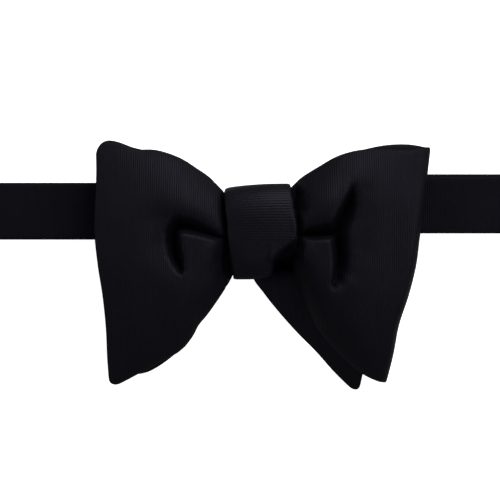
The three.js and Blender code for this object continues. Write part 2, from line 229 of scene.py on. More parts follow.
BACK_LOOP = columns(LOOP, [
    (2.0, 12.2, -6.5, -12.8, 8.9, 8.9, 8.9, 6.7, 6.7, 6.7, 0),
    (-6.0, 12.1, -8.2, -12.8, 8.9, 9.0, 8.9, 6.8, 6.8, 6.8, 0),
    (-12.4, 12.9, -9.8, -16.4, 9.6, 9.8, 9.4, 7.4, 7.4, 7.2, 0),
    (-17.2, 19.5, -13.8, -22.5, 11.2, 13.4, 10.4, 8.6, 9.0, 7.6, 0),
    (-22.9, 23.7, -19.0, -29.9, 12.8, 17.0, 10.6, 9.0, 9.6, 7.2, 0),
    (-29.6, 27.8, -25.2, -38.6, 14.2, 19.4, 10.2, 9.4, 10.0, 5.6, 0),
    (-38.0, 30.5, -31.8, -46.1, 14.8, 19.6, 8.6, 9.8, 10.2, 3.2, 0),
    (-46.0, 30.5, -40.7, -52.1, 14.8, 18.4, 6.4, 10.0, 10.2, 1.4, 0),
    (-53.0, 30.0, -47.8, -53.2, 14.2, 16.8, 4.6, 10.0, 10.1, ON_FLOOR, 0),
    (-58.2, 29.0, -53.2, -51.9, 13.6, 15.6, 3.4, 10.0, 10.0, ON_FLOOR, 0),
])
BACK_BLADE = columns(BLADE, [
    (2.0, 12.2, -6.5, -12.8, 8.9, 8.9, 8.9),
    (8.4, 12.6, -2.6, -13.6, 8.7, 8.7, 8.3),
    (12.6, 13.6, -1.4, -18.0, 8.7, 8.6, 7.6),
    (16.8, 18.8, 2.3, -23.0, 8.9, 8.7, 6.8),
    (22.8, 22.2, 7.8, -29.9, 9.3, 9.1, 5.8),
    (29.6, 25.4, 14.5, -37.4, 9.7, 9.6, 4.6),
    (37.0, 27.7, 22.1, -45.1, 10.0, 10.0, 2.8),
    (44.6, 28.9, 29.1, -52.9, 10.0, 10.1, 1.3),
    (52.8, 29.4, 37.8, -61.4, 10.0, 10.1, ON_FLOOR),
])
print("sections", sum(len(t["top"]) for t in (FRONT_LOOP, FRONT_BLADE, BACK_LOOP, BACK_BLADE)))

# %% [markdown]
# The outer edges aren't straight. These short rows say how far each one bows out between its
# bottom and top corners, how round the corners and the turned edges are, and how steeply a wall
# falls from its middle to its edges.

# %% Outer edges
EDGE_BOW = {
    "front_loop": [0, 0.4, 0.3, 1.8, 2.5, 1.9, 1.6, 0.7, 0],
    "front_blade": [0, -0.1, -0.4, 0.1, 1.3, 1.9, 1.0, 0.2, 0],
    "back_loop": [0, 0.6, 1.0, 1.4, 1.8, 1.8, 1.4, 0.8, 0],
    "back_blade": [0, 0.4, 1.3, 2.1, 2.6, 2.9, 2.5, 1.4, 0],
}
BOW_REACH = 0.3  # the outer share of a wing that its edge's curve bends
CROWN = 2.6  # a higher number is a flatter middle
FOLD_ROUND = 2.6  # how far from a loop's edge its two walls start to close
FRONT_CORNERS = (4.2, 6.4)  # the radii at the bottom and at the top
BACK_CORNERS = (3.8, 4.0)
print("edges", ", ".join(EDGE_BOW))

# %% [markdown]
# The folds are what makes a bow look tied by hand. Each wing has a crease that runs out of the
# knot and a second one across it, and between them the cloth puffs up. A fold is a path with a
# depth at each point, and a reach and a sharpness to each side: a crisp side drops nearly like a
# wall, and a soft one rolls into the crease. A swell is a soft hump, or a hollow where its
# height is negative.

# %% Folds and swells
CRISP, SOFT = 2.3, 1.6
# Each fold: its left and right side as a reach and a sharpness, then points of x, y and depth
LEFT_FOLDS = [
    ((1.8, CRISP), (3.2, SOFT), [
        (-11.6, -2.6, 3.0), (-15, -2.0, 4.6), (-18.5, -0.9, 5.8), (-22.1, 0.4, 7.0),
        (-26.1, 1.5, 8.2), (-29.4, 1.8, 8.8)]),
    ((2.2, CRISP), (2.8, CRISP), [
        (-29.6, 1.8, 8.6), (-31.0, 0.6, 8.8), (-31.5, -0.8, 8.8), (-31.4, -3.6, 8.8),
        (-30.7, -7.6, 8.4), (-29.6, -11.0, 7.0), (-28.6, -13.8, 4.4), (-27.8, -16.2, 0)]),
    ((6.0, CRISP), (6.0, CRISP), [(-36, 3, 1.4), (-35, -4, 1.6), (-32, -12, 1.0), (-30, -20, 0)]),
]
RIGHT_FOLDS = [
    ((3.0, SOFT), (1.7, CRISP), [
        (12.8, -0.9, 2.8), (16.5, -1.2, 6.0), (20.4, -1.2, 7.8), (25, -0.8, 9.0), (28.8, -0.8, 10.0)]),
    ((2.0, CRISP), (4.0, SOFT), [
        (28.8, -0.4, 10.0), (29.8, 3.0, 10.4), (31.4, 6.1, 10.2), (32.8, 9.5, 8.8),
        (33.8, 12.5, 6.4), (34.4, 15.2, 3.4), (34.6, 18.0, 0)]),
    ((4.0, SOFT), (1.8, CRISP), [
        (28.8, -0.4, 10.0), (29.2, -4.2, 10.6), (29.6, -8.8, 10.2), (29.5, -13.0, 9.2),
        (28.8, -16.4, 7.0), (27.8, -18.8, 4.2), (26.8, -21.2, 0)]),
    ((6.5, CRISP), (6.5, CRISP), [
        (38, 14, 1.0), (36, 5, 1.8), (35.0, -5, 2.0), (34.0, -14, 1.2), (31, -22, 0)]),
]
BEHIND_FOLDS = [
    ((4.2, CRISP), (4.6, CRISP), [
        (-17, -1.2, 2.4), (-22.1, 0.4, 5.0), (-28.5, 1.6, 6.6), (-31.4, 1.2, 7.2)]),
    ((4.8, CRISP), (4.8, CRISP), [
        (-31.4, 1.2, 7.2), (-31.6, -3.6, 7.6), (-30.6, -8.0, 7.2), (-29.4, -12, 5.6), (-28, -16, 1.5)]),
]
# The wings stand up close beside the knot, so a narrow gap runs down each side of it
LEFT_GAPS = [
    ((1.3, CRISP), (1.3, CRISP), [
        (-13.4, 16, 3.0), (-12.9, 9, 4.6), (-12.3, 2, 4.8), (-11.9, -4, 4.8)]),
    ((2.4, CRISP), (3.4, SOFT), [(-12.0, -4, 4.6), (-12.2, -10, 6.2), (-12.0, -15, 6.0)]),
]
RIGHT_GAPS = [
    ((3.8, CRISP), (2.6, CRISP), [(12.8, 17.5, 4.6), (13.4, 13, 6.2), (14.2, 9, 4.8)]),
    ((1.4, CRISP), (1.4, CRISP), [(14.6, 8, 4.6), (15.4, 1, 4.8), (15.1, -5, 4.6)]),
    ((2.0, CRISP), (2.0, CRISP), [(15.1, -5, 4.6), (13.8, -9, 5.0)]),
]
# The back blade is drawn down into the dark beside the knot's cut corner
BEHIND_GAPS = [
    ((2.6, CRISP), (2.6, CRISP), [(4.5, -12.0, 3.4), (9.5, -11.8, 5.4), (15, -11.0, 5.4)]),
]
# Each swell: x, y, its two half widths and its height
LEFT_SWELLS = [
    (-18, -4, 8, 9, 1.6), (-25, -9, 5, 9, -1.2), (-21, 11, 10, 7, 1.4), (-47, -8, 12, 26, 0.5),
]
RIGHT_SWELLS = [
    (17, -10, 6, 9, 1.6), (25, -10, 4, 8, -0.8), (24, 12, 8, 7, 1.2), (58, -4, 9, 24, 1.3),
]
BEHIND_SWELLS = [(-24, -9, 7, 9, -1.4), (-21, 12, 10, 8, 1.0)]
print("folds", len(LEFT_FOLDS + RIGHT_FOLDS + BEHIND_FOLDS))
print("swells", len(LEFT_SWELLS + RIGHT_SWELLS + BEHIND_SWELLS))

# %% [markdown]
# These work on a whole wall at once. Where two folds meet, the deeper one wins softly, and a
# fold narrows where it gets shallow, so it closes at its ends. Fine pleats fan out from the
# knot. They are two waves round it, each with a count, a start and a weight, and they are
# shallower on the upper half, where the cloth is pulled smooth.

# %% Press in and puff up
FOLD_TAPER = 0.25
FOLD_BLEND = 4
GATHER_DEPTH = 0.16
PLEATS = [(13, 0.6, 1), (22, 2.1, 0.7)]
PLEAT_CENTRE = 5
PLEATS_ABOVE = 0.35
PLEATS_CHANGE = 4
PLEATS_FADE = (12, 27)


def pressed_in(x, y, folds):
    total = np.zeros_like(x)
    for left, right, path in folds:
        deepest = np.zeros_like(x)
        most = max(depth for _, _, depth in path)
        for (ax, ay, a_deep), (bx, by, b_deep) in zip(path, path[1:]):
            run = (bx - ax) ** 2 + (by - ay) ** 2
            share = np.clip(((x - ax) * (bx - ax) + (y - ay) * (by - ay)) / run, 0, 1)
            away = np.hypot(x - mix(ax, bx, share), y - mix(ay, by, share))
            to_left = (bx - ax) * (y - ay) - (by - ay) * (x - ax) > 0
            deep = mix(a_deep, b_deep, share)
            reach = np.where(to_left, left[0], right[0]) * mix(FOLD_TAPER, 1, deep / most)
            sharpness = np.where(to_left, left[1], right[1])
            deepest = np.maximum(deepest, deep * np.exp(-((away / reach) ** sharpness)))
        total = (total ** FOLD_BLEND + deepest ** FOLD_BLEND) ** (1 / FOLD_BLEND)
    return total


def puffed_up(x, y, swells):
    total = np.zeros_like(x)
    for at_x, at_y, half_x, half_y, height in swells:
        total += height * np.exp(-(((x - at_x) / half_x) ** 2) - ((y - at_y) / half_y) ** 2)
    return total


def gathered(x, y):
    """Fine pleats that fan out from the knot and fade within a couple of centimetres."""
    turn = np.arctan2(y, np.abs(x) - PLEAT_CENTRE)
    pleats = sum(weight * np.cos(count * turn + start) for count, start, weight in PLEATS)
    low_half = mix(PLEATS_ABOVE, 1, smooth(PLEATS_CHANGE, -PLEATS_CHANGE, y))
    return GATHER_DEPTH * pleats * low_half * (1 - smooth(*PLEATS_FADE, np.abs(x)))


print("deepest left fold", pressed_in(np.array([-21.6]), np.array([1.9]), LEFT_FOLDS).round(1), "mm")

# %% [markdown]
# A wall of a wing is worked out from its table. For each station out from the knot and each
# place across it, the point is mixed between the section's two edges, the height rises from the
# edges to the middle, and the folds and swells are pressed in. Cloth doesn't lie quite smooth,
# so a little slow noise, once at a large and once at a small size, moves each wall up and down
# by a few tenths of a millimetre, but not where the knot holds it.

# %% One wall of a wing
WRINKLE = 0.34
BIG_WRINKLE, SMALL_WRINKLE = (15, 26), (9, 15)
SMALL_SHARE = 0.4
SMALL_SHIFT = (7, 3)
HELD_TO, LOOSE_FROM = 0.2, 0.4


def wrinkles(x, y, seed):
    grid = np.empty(x.shape)
    for index, (px, py) in enumerate(zip(x.flat, y.flat)):
        big_place = Vector((px / BIG_WRINKLE[0], py / BIG_WRINKLE[1], seed))
        small_place = Vector((
            px / SMALL_WRINKLE[0] + SMALL_SHIFT[0], py / SMALL_WRINKLE[1], seed + SMALL_SHIFT[1],
        ))
        grid.flat[index] = WRINKLE * (noise.noise(big_place) + SMALL_SHARE * noise.noise(small_place))
    return grid


def end_scale(table):
    """How many millimetres a whole wall would be if each section were as long as its last."""
    steps = []
    for axis in ("x", "y"):
        top, bottom = table["top_" + axis], table["bottom_" + axis]
        steps.append((top[-1] + bottom[-1] - top[-2] - bottom[-2]) / 2)
    return (len(table["top"]) - 1) * math.hypot(*steps)


def corner_inset(radius, distance):
    """How far a round corner draws the side in, at a distance from the end."""
    inside = np.clip(radius - distance, 0, radius)
    return radius - np.sqrt(radius ** 2 - inside ** 2)


def wall(table, out, across, bow, side, rear=False, folds=(), swells=(), corners=None, seed=0):
    """The points of one wall, a row for each station out and a place in it for each across."""
    out = np.asarray(out)[:, None]
    top_x, bottom_x = curve(table["top_x"], out), curve(table["bottom_x"], out)
    top_y, bottom_y = curve(table["top_y"], out), curve(table["bottom_y"], out)
    if rear:
        top_y = top_y + curve(table["mouth"], out)
    height = np.hypot(top_x - bottom_x, top_y - bottom_y)
    low, high = 0, 1
    if corners:
        to_end = (1 - out) * end_scale(table)
        low = corner_inset(corners[0], to_end) / height
        high = 1 - corner_inset(corners[1], to_end) / height
    share = mix(low, high, across[None, :])
    bowed = curve(EDGE_BOW[bow], share) * smooth(1 - BOW_REACH, 1, out) * side
    x = mix(bottom_x, top_x, share) + bowed
    y = mix(bottom_y, top_y, share)
    kind = "rear_" if rear else ""
    at_top, at_middle, at_bottom = (
        curve(table[kind + level], out) for level in ("top", "middle", "bottom")
    )
    edge = np.where(share < 0.5, at_bottom, at_top)
    z = mix(at_middle, edge, np.abs(2 * share - 1) ** CROWN)
    loose = smooth(HELD_TO, LOOSE_FROM, out)
    z = z - pressed_in(x, y, folds) + puffed_up(x, y, swells) + wrinkles(x, y, seed) * loose
    if folds:
        z = z + gathered(x, y)
    return np.stack([x, y, np.maximum(z, ON_FLOOR)], axis=-1)


flat_wall = wall(BACK_BLADE, [0.5], np.array([0.0, 1.0]), "back_blade", 1)
print("middle of the back blade from", flat_wall[0, 0].round(1), "to", flat_wall[0, 1].round(1))

# %% [markdown]
# The places across a strip aren't evenly spaced. A pressed seam is thinner than the cloth beside
# it, and it rolls over in the last millimetre, so the rows crowd together there. The creases lie
# in the middle of the strip and halfway out, so the grid is finer there too.

# %% Places along and across a strip
SEAM_ROLL = 1.3
SEAM_ROWS = (0, 0.08, 0.25, 0.55)
ACROSS_ROWS = 118
STRIP_WIDTH = 80
WALL_STATIONS = 86
BLADE_STATIONS = 84
FOLD_STATIONS = 8


def places_across(rows, width, crowd=None):
    near_seam = np.array(SEAM_ROWS) * SEAM_ROLL / width
    inner = np.linspace(SEAM_ROLL / width, 1 - SEAM_ROLL / width, rows)
    if crowd:
        inner = np.interp(inner, *crowd)
    return np.concatenate([near_seam, inner, 1 - near_seam[::-1]])


CROWD_ACROSS = ([0, 0.14, 0.76, 1], [0, 0.24, 0.72, 1])
CROWD_OUT = ([0, 0.12, 0.76, 1], [0, 0.22, 0.7, 1])
ACROSS = places_across(ACROSS_ROWS, STRIP_WIDTH, CROWD_ACROSS)
print("rows across", len(ACROSS))

# %% [markdown]
# A loop goes out along its rear wall, turns over at the outer edge and comes back along its front
# wall. Near the edge the two walls close on their middle like half an ellipse, so the fold is
# round and soft, not creased. However deep its folds are, the front wall is eased so that it
# stays clear above the rear one. A blade runs out to its cut end, where the stations crowd
# together round the corners.

# %% Loops and blades
LAYER_STEP = 2.1
EASE = 0.6


def kept_above(height, lowest):
    """The height, eased so that it doesn't fall below the lowest."""
    return (height + lowest + np.hypot(height - lowest, EASE)) / 2


def loop(table, bow, side, folds, swells, seed):
    scale = end_scale(table)
    even = np.linspace(0, 1, WALL_STATIONS, endpoint=False)
    straight = np.interp(even, *CROWD_OUT) * (1 - FOLD_ROUND / scale)
    turn = np.linspace(math.pi / 2, 0, FOLD_STATIONS, endpoint=False)
    outs = np.concatenate([straight, 1 - FOLD_ROUND * (1 - np.cos(turn)) / scale, [1]])
    rear = wall(table, outs, ACROSS, bow, side, rear=True, seed=seed + 1)
    front = wall(table, outs, ACROSS, bow, side, folds=folds, swells=swells, seed=seed)
    front[..., 2] = kept_above(front[..., 2], rear[..., 2] + LAYER_STEP)
    to_edge = np.minimum(1, (1 - outs) * scale / FOLD_ROUND)
    opened = np.sqrt(1 - (1 - to_edge) ** 2)[:, None, None]
    middle = (front + rear) / 2
    half = (front - rear) / 2 * opened
    return np.concatenate([middle - half, (middle + half)[-2::-1]])


def blade(table, bow, side, corners, folds=(), swells=(), seed=0):
    rounded = 1 - max(corners) / end_scale(table)
    plain = np.interp(np.linspace(0, 1, BLADE_STATIONS), *CROWD_OUT)[1:] * rounded
    turn = np.sin(np.linspace(0, math.pi / 2, FOLD_STATIONS + 1))[1:]
    outs = np.concatenate([plain, mix(rounded, 1, turn)])
    return wall(table, outs, ACROSS, bow, side, folds=folds, swells=swells, corners=corners, seed=seed)


right_dents, left_dents = RIGHT_FOLDS + RIGHT_GAPS, LEFT_FOLDS + LEFT_GAPS
front_loop = loop(FRONT_LOOP, "front_loop", 1, right_dents, RIGHT_SWELLS, seed=11)
front_blade = blade(FRONT_BLADE, "front_blade", -1, FRONT_CORNERS, left_dents, LEFT_SWELLS, seed=21)
back_loop = loop(BACK_LOOP, "back_loop", -1, BEHIND_FOLDS, BEHIND_SWELLS, seed=31)
back_blade = blade(BACK_BLADE, "back_blade", 1, BACK_CORNERS, BEHIND_GAPS, seed=41)
front_strip_points = np.concatenate([front_loop, front_blade])
back_strip_points = np.concatenate([back_loop, back_blade])
print("front strip", front_strip_points.shape, "back strip", back_strip_points.shape)

# %% [markdown]
# Now the cloth is cut. Each piece starts as a flat grid, its weave is marked on it as a UV map
# in millimetres along and across the strip, and then its points are moved into the folds. The
# map is measured along the folded cloth, so the ribs keep their pitch where the whole strip rises,
# and stay straight across its dents. A Solidify modifier gives the wall its thickness, thinner at
# the seams.

# %% Cut the cloth
THIN_SEAM = 0.22
RING_JOIN = 0.02 * MM


def along_cloth(points, home=0):
    """How far along the strip each place is, with ribs that run straight up the picture at home."""
    steps = np.abs(np.diff(points, axis=0))
    down = np.maximum(0, steps[..., 2].mean(axis=1) - steps[..., 0].mean(axis=1))
    passed = np.cumsum(steps[..., 0] + down[:, None], axis=0)
    passed = np.concatenate([np.zeros((1, points.shape[1])), passed])
    onward = np.sign(points[-1, 0, 0] - points[home, 0, 0])
    return passed - passed[home] + onward * points[home, :, 0]


def cut_cloth(name, points, along, across, fullness, ring=False):
    """A grid of cloth with its weave marked, moved to points, which are rows of places in mm."""
    stations, rows = points.shape[:2]
    cloth = bmesh.new()
    bmesh.ops.create_grid(cloth, x_segments=stations - 1, y_segments=rows - 1, size=1)
    weave = cloth.loops.layers.uv.new("weave")
    full = cloth.verts.layers.deform.new()
    for face in cloth.faces:
        for corner in face.loops:
            i = round((corner.vert.co.x + 1) / 2 * (stations - 1))
            j = round((corner.vert.co.y + 1) / 2 * (rows - 1))
            corner[weave].uv = (along[i, j], across[i, j])
    for vert in cloth.verts:
        i = round((vert.co.x + 1) / 2 * (stations - 1))
        j = round((vert.co.y + 1) / 2 * (rows - 1))
        vert.co = Vector(points[i, j]) * MM
        vert[full][0] = fullness[i, j]
    if ring:
        bmesh.ops.remove_doubles(cloth, verts=cloth.verts, dist=RING_JOIN)
    for face in cloth.faces:
        face.smooth = True
    mesh = bpy.data.meshes.new(name)
    cloth.to_mesh(mesh)
    cloth.free()
    piece = bpy.data.objects.new(name, mesh)
    bpy.context.scene.collection.objects.link(piece)
    piece.vertex_groups.new(name="full")
    wall_maker = piece.modifiers.new("wall", "SOLIDIFY")
    wall_maker.thickness = CLOTH * MM
    wall_maker.offset = 0
    wall_maker.vertex_group = "full"
    wall_maker.thickness_vertex_group = THIN_SEAM
    print(name, len(mesh.polygons), "faces")
    return piece


def seam_fullness(points, cut_end=False):
    """1 inside the cloth, falling to 0 in the last millimetre before a seam or a cut end."""
    over = np.cumsum(np.linalg.norm(np.diff(points, axis=1), axis=2), axis=1)
    to_side = np.concatenate([np.zeros((points.shape[0], 1)), over], axis=1)
    nearest = np.minimum(to_side, to_side[:, -1:] - to_side)
    if cut_end:
        back = np.linalg.norm(np.diff(points[::-1], axis=0), axis=2)
        to_end = np.concatenate([np.zeros((1, points.shape[1])), np.cumsum(back, axis=0)])[::-1]
        nearest = np.minimum(nearest, to_end)
    inside = np.clip(nearest / SEAM_ROLL, 0, 1)
    return np.sqrt(1 - (1 - inside) ** 2)


print("seams are", round(THIN_SEAM * CLOTH, 2), "mm thick")

# %% [markdown]
# The back strip is laid first and the front strip goes on top of it, as in tying. A ray is cast
# down onto the finished cloth below from over each point. Where the point would sink into that
# cloth, it is lifted clear, and the lift eases in so that it leaves no edge.

# %% Lay the strips
CLOTH_GAP = 0.5
FAR_ABOVE = 100
DOWN = Vector((0, 0, -1))


def laid_on(points, piece):
    """The points, lifted clear where they would sink into the cloth that already lies there."""
    bpy.context.view_layer.update()
    beneath = BVHTree.FromObject(piece, bpy.context.evaluated_depsgraph_get())
    lifted = points.copy()
    for place in np.ndindex(points.shape[:2]):
        x, y, z = points[place]
        top = beneath.ray_cast(Vector((x, y, FAR_ABOVE)) * MM, DOWN)[0]
        if top:
            lifted[place][2] = kept_above(z, top.z / MM + CLOTH / 2 + CLOTH_GAP)
    most = float((lifted - points).max())
    print(piece.name, "lifts the next layer by up to", round(most, 2), "mm")
    return lifted


def fold_strip(name, points, home):
    fullness = seam_fullness(points, cut_end=True)
    return cut_cloth(name, points, along_cloth(points, home), points[..., 1], fullness)


back_strip = fold_strip("back_strip", back_strip_points, len(back_loop) - 1)
front_strip_points = laid_on(front_strip_points, back_strip)
front_strip = fold_strip("front_strip", front_strip_points, len(front_loop) - 1)

# %% [markdown]
# The knot is a turn of the same cloth round the middle. Its section is boxy behind, where it lies
# flat on the band, and round in front. Its two edges aren't parallel: on the lower right the wrap
# is cut back and tucked under, so the blade behind shows there. The table gives both edges at
# angles from the top, down the front and up behind. A tuck and two small ridges shape the cut
# corner, and a hollow darkens the lower end.

# %% The knot's shape
KNOT_BACK, KNOT_FRONT = 2.75, 21.6
KNOT_TOP, KNOT_BOTTOM = 17.4, -17.0
KNOT_TOP_DROP = 2.4
TOP_DROP_POWER = 3
BARREL = 1.3
ROUND_TOP, ROUND_BOTTOM, ROUND_BEHIND = 2.6, 2.3, 4
KNOT_STATIONS = 160
KNOT_ROWS, WRAP_WIDTH = 44, 24
KNOT_WRINKLES = 0.6
FULL_OUT = 0.5
KNOT_EDGES = columns("angle left right", [
    (0, -12.4, 12.0),
    (30, -12.7, 12.2),
    (60, -12.2, 13.1),
    (90, -11.4, 14.3),
    (103, -11.0, 13.5),
    (113, -10.6, 10.9),
    (127, -10.1, 6.0),
    (150, -9.4, 5.3),
    (158, -9.3, 5.0),
    (167, -9.2, 1.8),
    (180, -9.2, -2.4),
    (230, -9.2, -3.3),
    (270, -9.4, 5.0),
    (325, -9.8, 8.6),
    (360, -12.4, 12.0),
])
KNOT_TUCKS = [
    ((1.9, CRISP), (1.9, CRISP), [
        (15.5, -4.2, 3.4), (12.6, -6.6, 4.6), (9.4, -9.4, 4.5), (7.2, -12.0, 4.2), (7.0, -16, 3.0)]),
]
KNOT_RIDGES = [(4.9, -10.2, 1.0, 4.2, 0.9), (3.2, -15.4, 2.2, 0.8, 0.6), (-3, -14.5, 8, 4, -1.0)]
print("knot", KNOT_TOP - KNOT_BOTTOM, "mm high")

# %% [markdown]
# The wrap is a ring of stations, cut open at the back, folded round and joined again. Where it
# passes over the front strip, it is laid on it as the strips are laid on each other. The ribs
# follow the ring, so on the knot they lie level.

# %% Wrap the knot
LAID_FROM, LAID_TO = 0.08, 0.42


def knot_edge(side, degrees):
    angles, edge = np.array(KNOT_EDGES["angle"]), np.array(KNOT_EDGES[side])
    k = np.clip(np.searchsorted(angles, degrees, side="right") - 1, 0, len(angles) - 2)
    share = (degrees - angles[k]) / (angles[k + 1] - angles[k])
    return mix(edge[k], edge[k + 1], smooth(0, 1, share))


def knot_points():
    degrees = np.linspace(0, 360, KNOT_STATIONS + 1)[:, None]
    angle = np.radians(degrees)
    across = places_across(KNOT_ROWS, WRAP_WIDTH)[::-1][None, :]
    x = mix(knot_edge("left", degrees), knot_edge("right", degrees), across)
    in_front = np.sin(angle) >= 0
    front_power = np.where(np.cos(angle) >= 0, 2 / ROUND_TOP, 2 / ROUND_BOTTOM)
    power = np.where(in_front, front_power, 2 / ROUND_BEHIND)
    up = np.sign(np.cos(angle)) * np.abs(np.cos(angle)) ** power
    out = np.sign(np.sin(angle)) * np.abs(np.sin(angle)) ** power
    barrel = np.where(in_front, BARREL * (2 * across - 1) ** 2, 0)
    y = (KNOT_TOP + KNOT_BOTTOM) / 2 + (KNOT_TOP - KNOT_BOTTOM) / 2 * up + 0 * x
    z = (KNOT_FRONT + KNOT_BACK) / 2 + ((KNOT_FRONT - KNOT_BACK) / 2 - barrel) * out
    slope = KNOT_TOP_DROP * (1 - across) ** TOP_DROP_POWER * np.minimum(1, 1 + out)
    y = y - slope * np.maximum(0, up)
    shaped = puffed_up(x, y, KNOT_RIDGES) - pressed_in(x, y, KNOT_TUCKS)
    shaped = shaped + KNOT_WRINKLES * wrinkles(x, y, 51)
    z = z + shaped * smooth(0, FULL_OUT, out)
    return np.stack([x, y, z], axis=-1)


wrap_points = knot_points()
over_strip = slice(round(KNOT_STATIONS * LAID_FROM), round(KNOT_STATIONS * LAID_TO))
wrap_points[over_strip] = laid_on(wrap_points[over_strip], front_strip)
round_knot = np.linalg.norm(np.diff(wrap_points[..., 1:], axis=0), axis=2)
passed_round = np.concatenate([[0], np.cumsum(round_knot.mean(axis=1))])
wrap_along = np.broadcast_to(passed_round[:, None], wrap_points.shape[:2])
wrap_full = seam_fullness(wrap_points)
knot_wrap = cut_cloth(
    "knot_wrap", wrap_points, wrap_along, wrap_points[..., 0], wrap_full, ring=True
)

# %% [markdown]
# The neckband is one loop, flattened. Its front run passes through the knot, where it comes down
# a little and narrows, and its back run lies on the floor. At each end it turns over in a small
# bend. The two ends stop at the clasp's web, under its plate.

# %% The neckband
BAND_WIDTH, BAND_IN_KNOT = 21.2, 16.0
BAND_LEFT, BAND_RIGHT = -104, 100
FRONT_LOW, FRONT_HIGH = 4.9, 7.7
RISE_FROM, RISE_TO, BAND_DIP = 12, 60, 22
FRONT_RUN = {"left": 7.9, "knot": 3.0, "right": 10.1}
BACK_RUN = {"left": 7.8, "knot": 3.2, "right": 11.3}
CLASP_X, CLASP_WEB, SEAT = 44, 3, 0.1
BAND_STEP = 1.2
BAND_ROWS = 22
BEND_STATIONS = 15
BEND = (FRONT_HIGH - ON_FLOOR) / 2


def band_middle(run, x):
    side = np.where(x < 0, run["left"], run["right"])
    return mix(run["knot"], side, smooth(RISE_FROM, RISE_FROM + BAND_DIP, np.abs(x)))


def back_run(x):
    level, width = np.full_like(x, ON_FLOOR), np.full_like(x, BAND_WIDTH)
    return np.stack([x, band_middle(BACK_RUN, x), level, width], 1)


def front_run(x):
    z = mix(FRONT_LOW, FRONT_HIGH, smooth(RISE_FROM, RISE_TO, np.abs(x)))
    width = mix(BAND_IN_KNOT, BAND_WIDTH, smooth(RISE_FROM, RISE_FROM + BAND_DIP, np.abs(x)))
    return np.stack([x, band_middle(FRONT_RUN, x), z, width], 1)


def band_bend(middle_x, side, start, end):
    angle = np.linspace(0, math.pi, BEND_STATIONS)[1:-1]
    share = angle / math.pi
    z = mix(start[2], end[2], (1 - np.cos(angle)) / 2)
    y = mix(start[1], end[1], share)
    return np.stack([middle_x + side * BEND * np.sin(angle), y, z, np.full_like(z, BAND_WIDTH)], 1)


def run_of(start, end):
    return np.linspace(start, end, round(abs(end - start) / BAND_STEP))


def band_points():
    left, right = BAND_LEFT + BEND, BAND_RIGHT - BEND
    slot = CLASP_WEB / 2 + SEAT
    first = back_run(run_of(CLASP_X - slot, left))
    front = front_run(run_of(left, right))
    last = back_run(run_of(right, CLASP_X + slot))
    left_bend = band_bend(left, -1, first[-1], front[0])
    right_bend = band_bend(right, 1, front[-1], last[0])
    line = np.concatenate([first, left_bend, front, right_bend, last])
    across = places_across(BAND_ROWS, BAND_WIDTH) - 0.5
    x = np.broadcast_to(line[:, :1], (len(line), len(across)))
    y = line[:, 1:2] + across * line[:, 3:4]
    z = np.broadcast_to(line[:, 2:3], x.shape)
    return np.stack([x, y, z], axis=-1)


band_cloth = band_points()
band_along = along_cloth(band_cloth)
band_full = seam_fullness(band_cloth)
neckband = cut_cloth("neckband_silk", band_cloth, band_along, band_cloth[..., 1], band_full)
print("loop", round(float(band_along[-1, 0] - band_along[0, 0])), "mm round")

# %% [markdown]
# The clasp is hidden under the right wing. It is a plain plate with a web between the band's two
# ends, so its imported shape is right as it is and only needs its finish.

# %% The clasp
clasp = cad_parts["neckband_clasp"]
print("clasp", clasp.name)

# %% [markdown]
# The silk is woven with fine raised ribs that run across the strip, 0.8 mm apart on the wings and the
# band and 1.0 mm on the knot, and much finer threads that cross them. Both are drawn from the weave map
# that was marked on the cloth, so they follow every fold. The group gives the height of the surface and
# a mask of where the cloth is a little darker or shinier: long slubs along the ribs and large soft
# clouds, the cloth's own uneven tone. The mask is also halved between the ribs, so the grooves get a
# darker colour, a painted shade.

# %% The weave
BOW_RIB, KNOT_RIB, THREAD = 0.8, 1.0, 0.28
RIB_ROUND = 0.7
RIB_WANDER, WANDER_SCALE = 0.5, 0.35
RIB_SHARE, THREAD_SHARE = 0.85, 0.15
SLUB_STRETCH = (2.2, 0.12, 1)
SLUB_SCALE, CLOUD_SCALE = 1.0, 0.06
SLUB_SHARE, CLOUD_SHARE = 0.45, 0.55
SOFT_DETAIL = 3.0
# Painted shade: the tone mask is full on a rib and halved in the grooves between ribs
PAINTED_RIB_LIGHT, PAINTED_GROOVE_SHADE = 0.5, 0.5


def new_group(name, inputs, outputs):
    group = bpy.data.node_groups.new(name, "ShaderNodeTree")
    for label, kind, value in inputs:
        socket = group.interface.new_socket(label, in_out="INPUT", socket_type=kind)
        if value is not None:
            socket.default_value = value
    for label in outputs:
        group.interface.new_socket(label, in_out="OUTPUT", socket_type="NodeSocketFloat")
    return group, group.nodes.new("NodeGroupInput"), group.nodes.new("NodeGroupOutput")


def sums(tree, operation, first, second=None):
    node = tree.nodes.new("ShaderNodeMath")
    node.operation = operation
    for socket, value in zip(node.inputs, (first, second)):
        if isinstance(value, bpy.types.NodeSocket):
            tree.links.new(value, socket)
        elif value is not None:
            socket.default_value = value
    return node.outputs[0]


def noise_at(tree, place, scale, detail=2.0):
    node = tree.nodes.new("ShaderNodeTexNoise")
    node.inputs["Scale"].default_value = scale
    node.inputs["Detail"].default_value = detail
    tree.links.new(place, node.inputs["Vector"])
    return node.outputs["Fac"]


def ribs(tree, along, pitch):
    """A wave of rounded ribs, from 0 between two of them to 1 on each."""
    turn = sums(tree, "MULTIPLY", sums(tree, "DIVIDE", along, pitch), math.pi)
    return sums(tree, "ABSOLUTE", sums(tree, "SINE", turn))


def blend(tree, first, first_share, second, second_share):
    first_part = sums(tree, "MULTIPLY", first, first_share)
    return sums(tree, "ADD", first_part, sums(tree, "MULTIPLY", second, second_share))


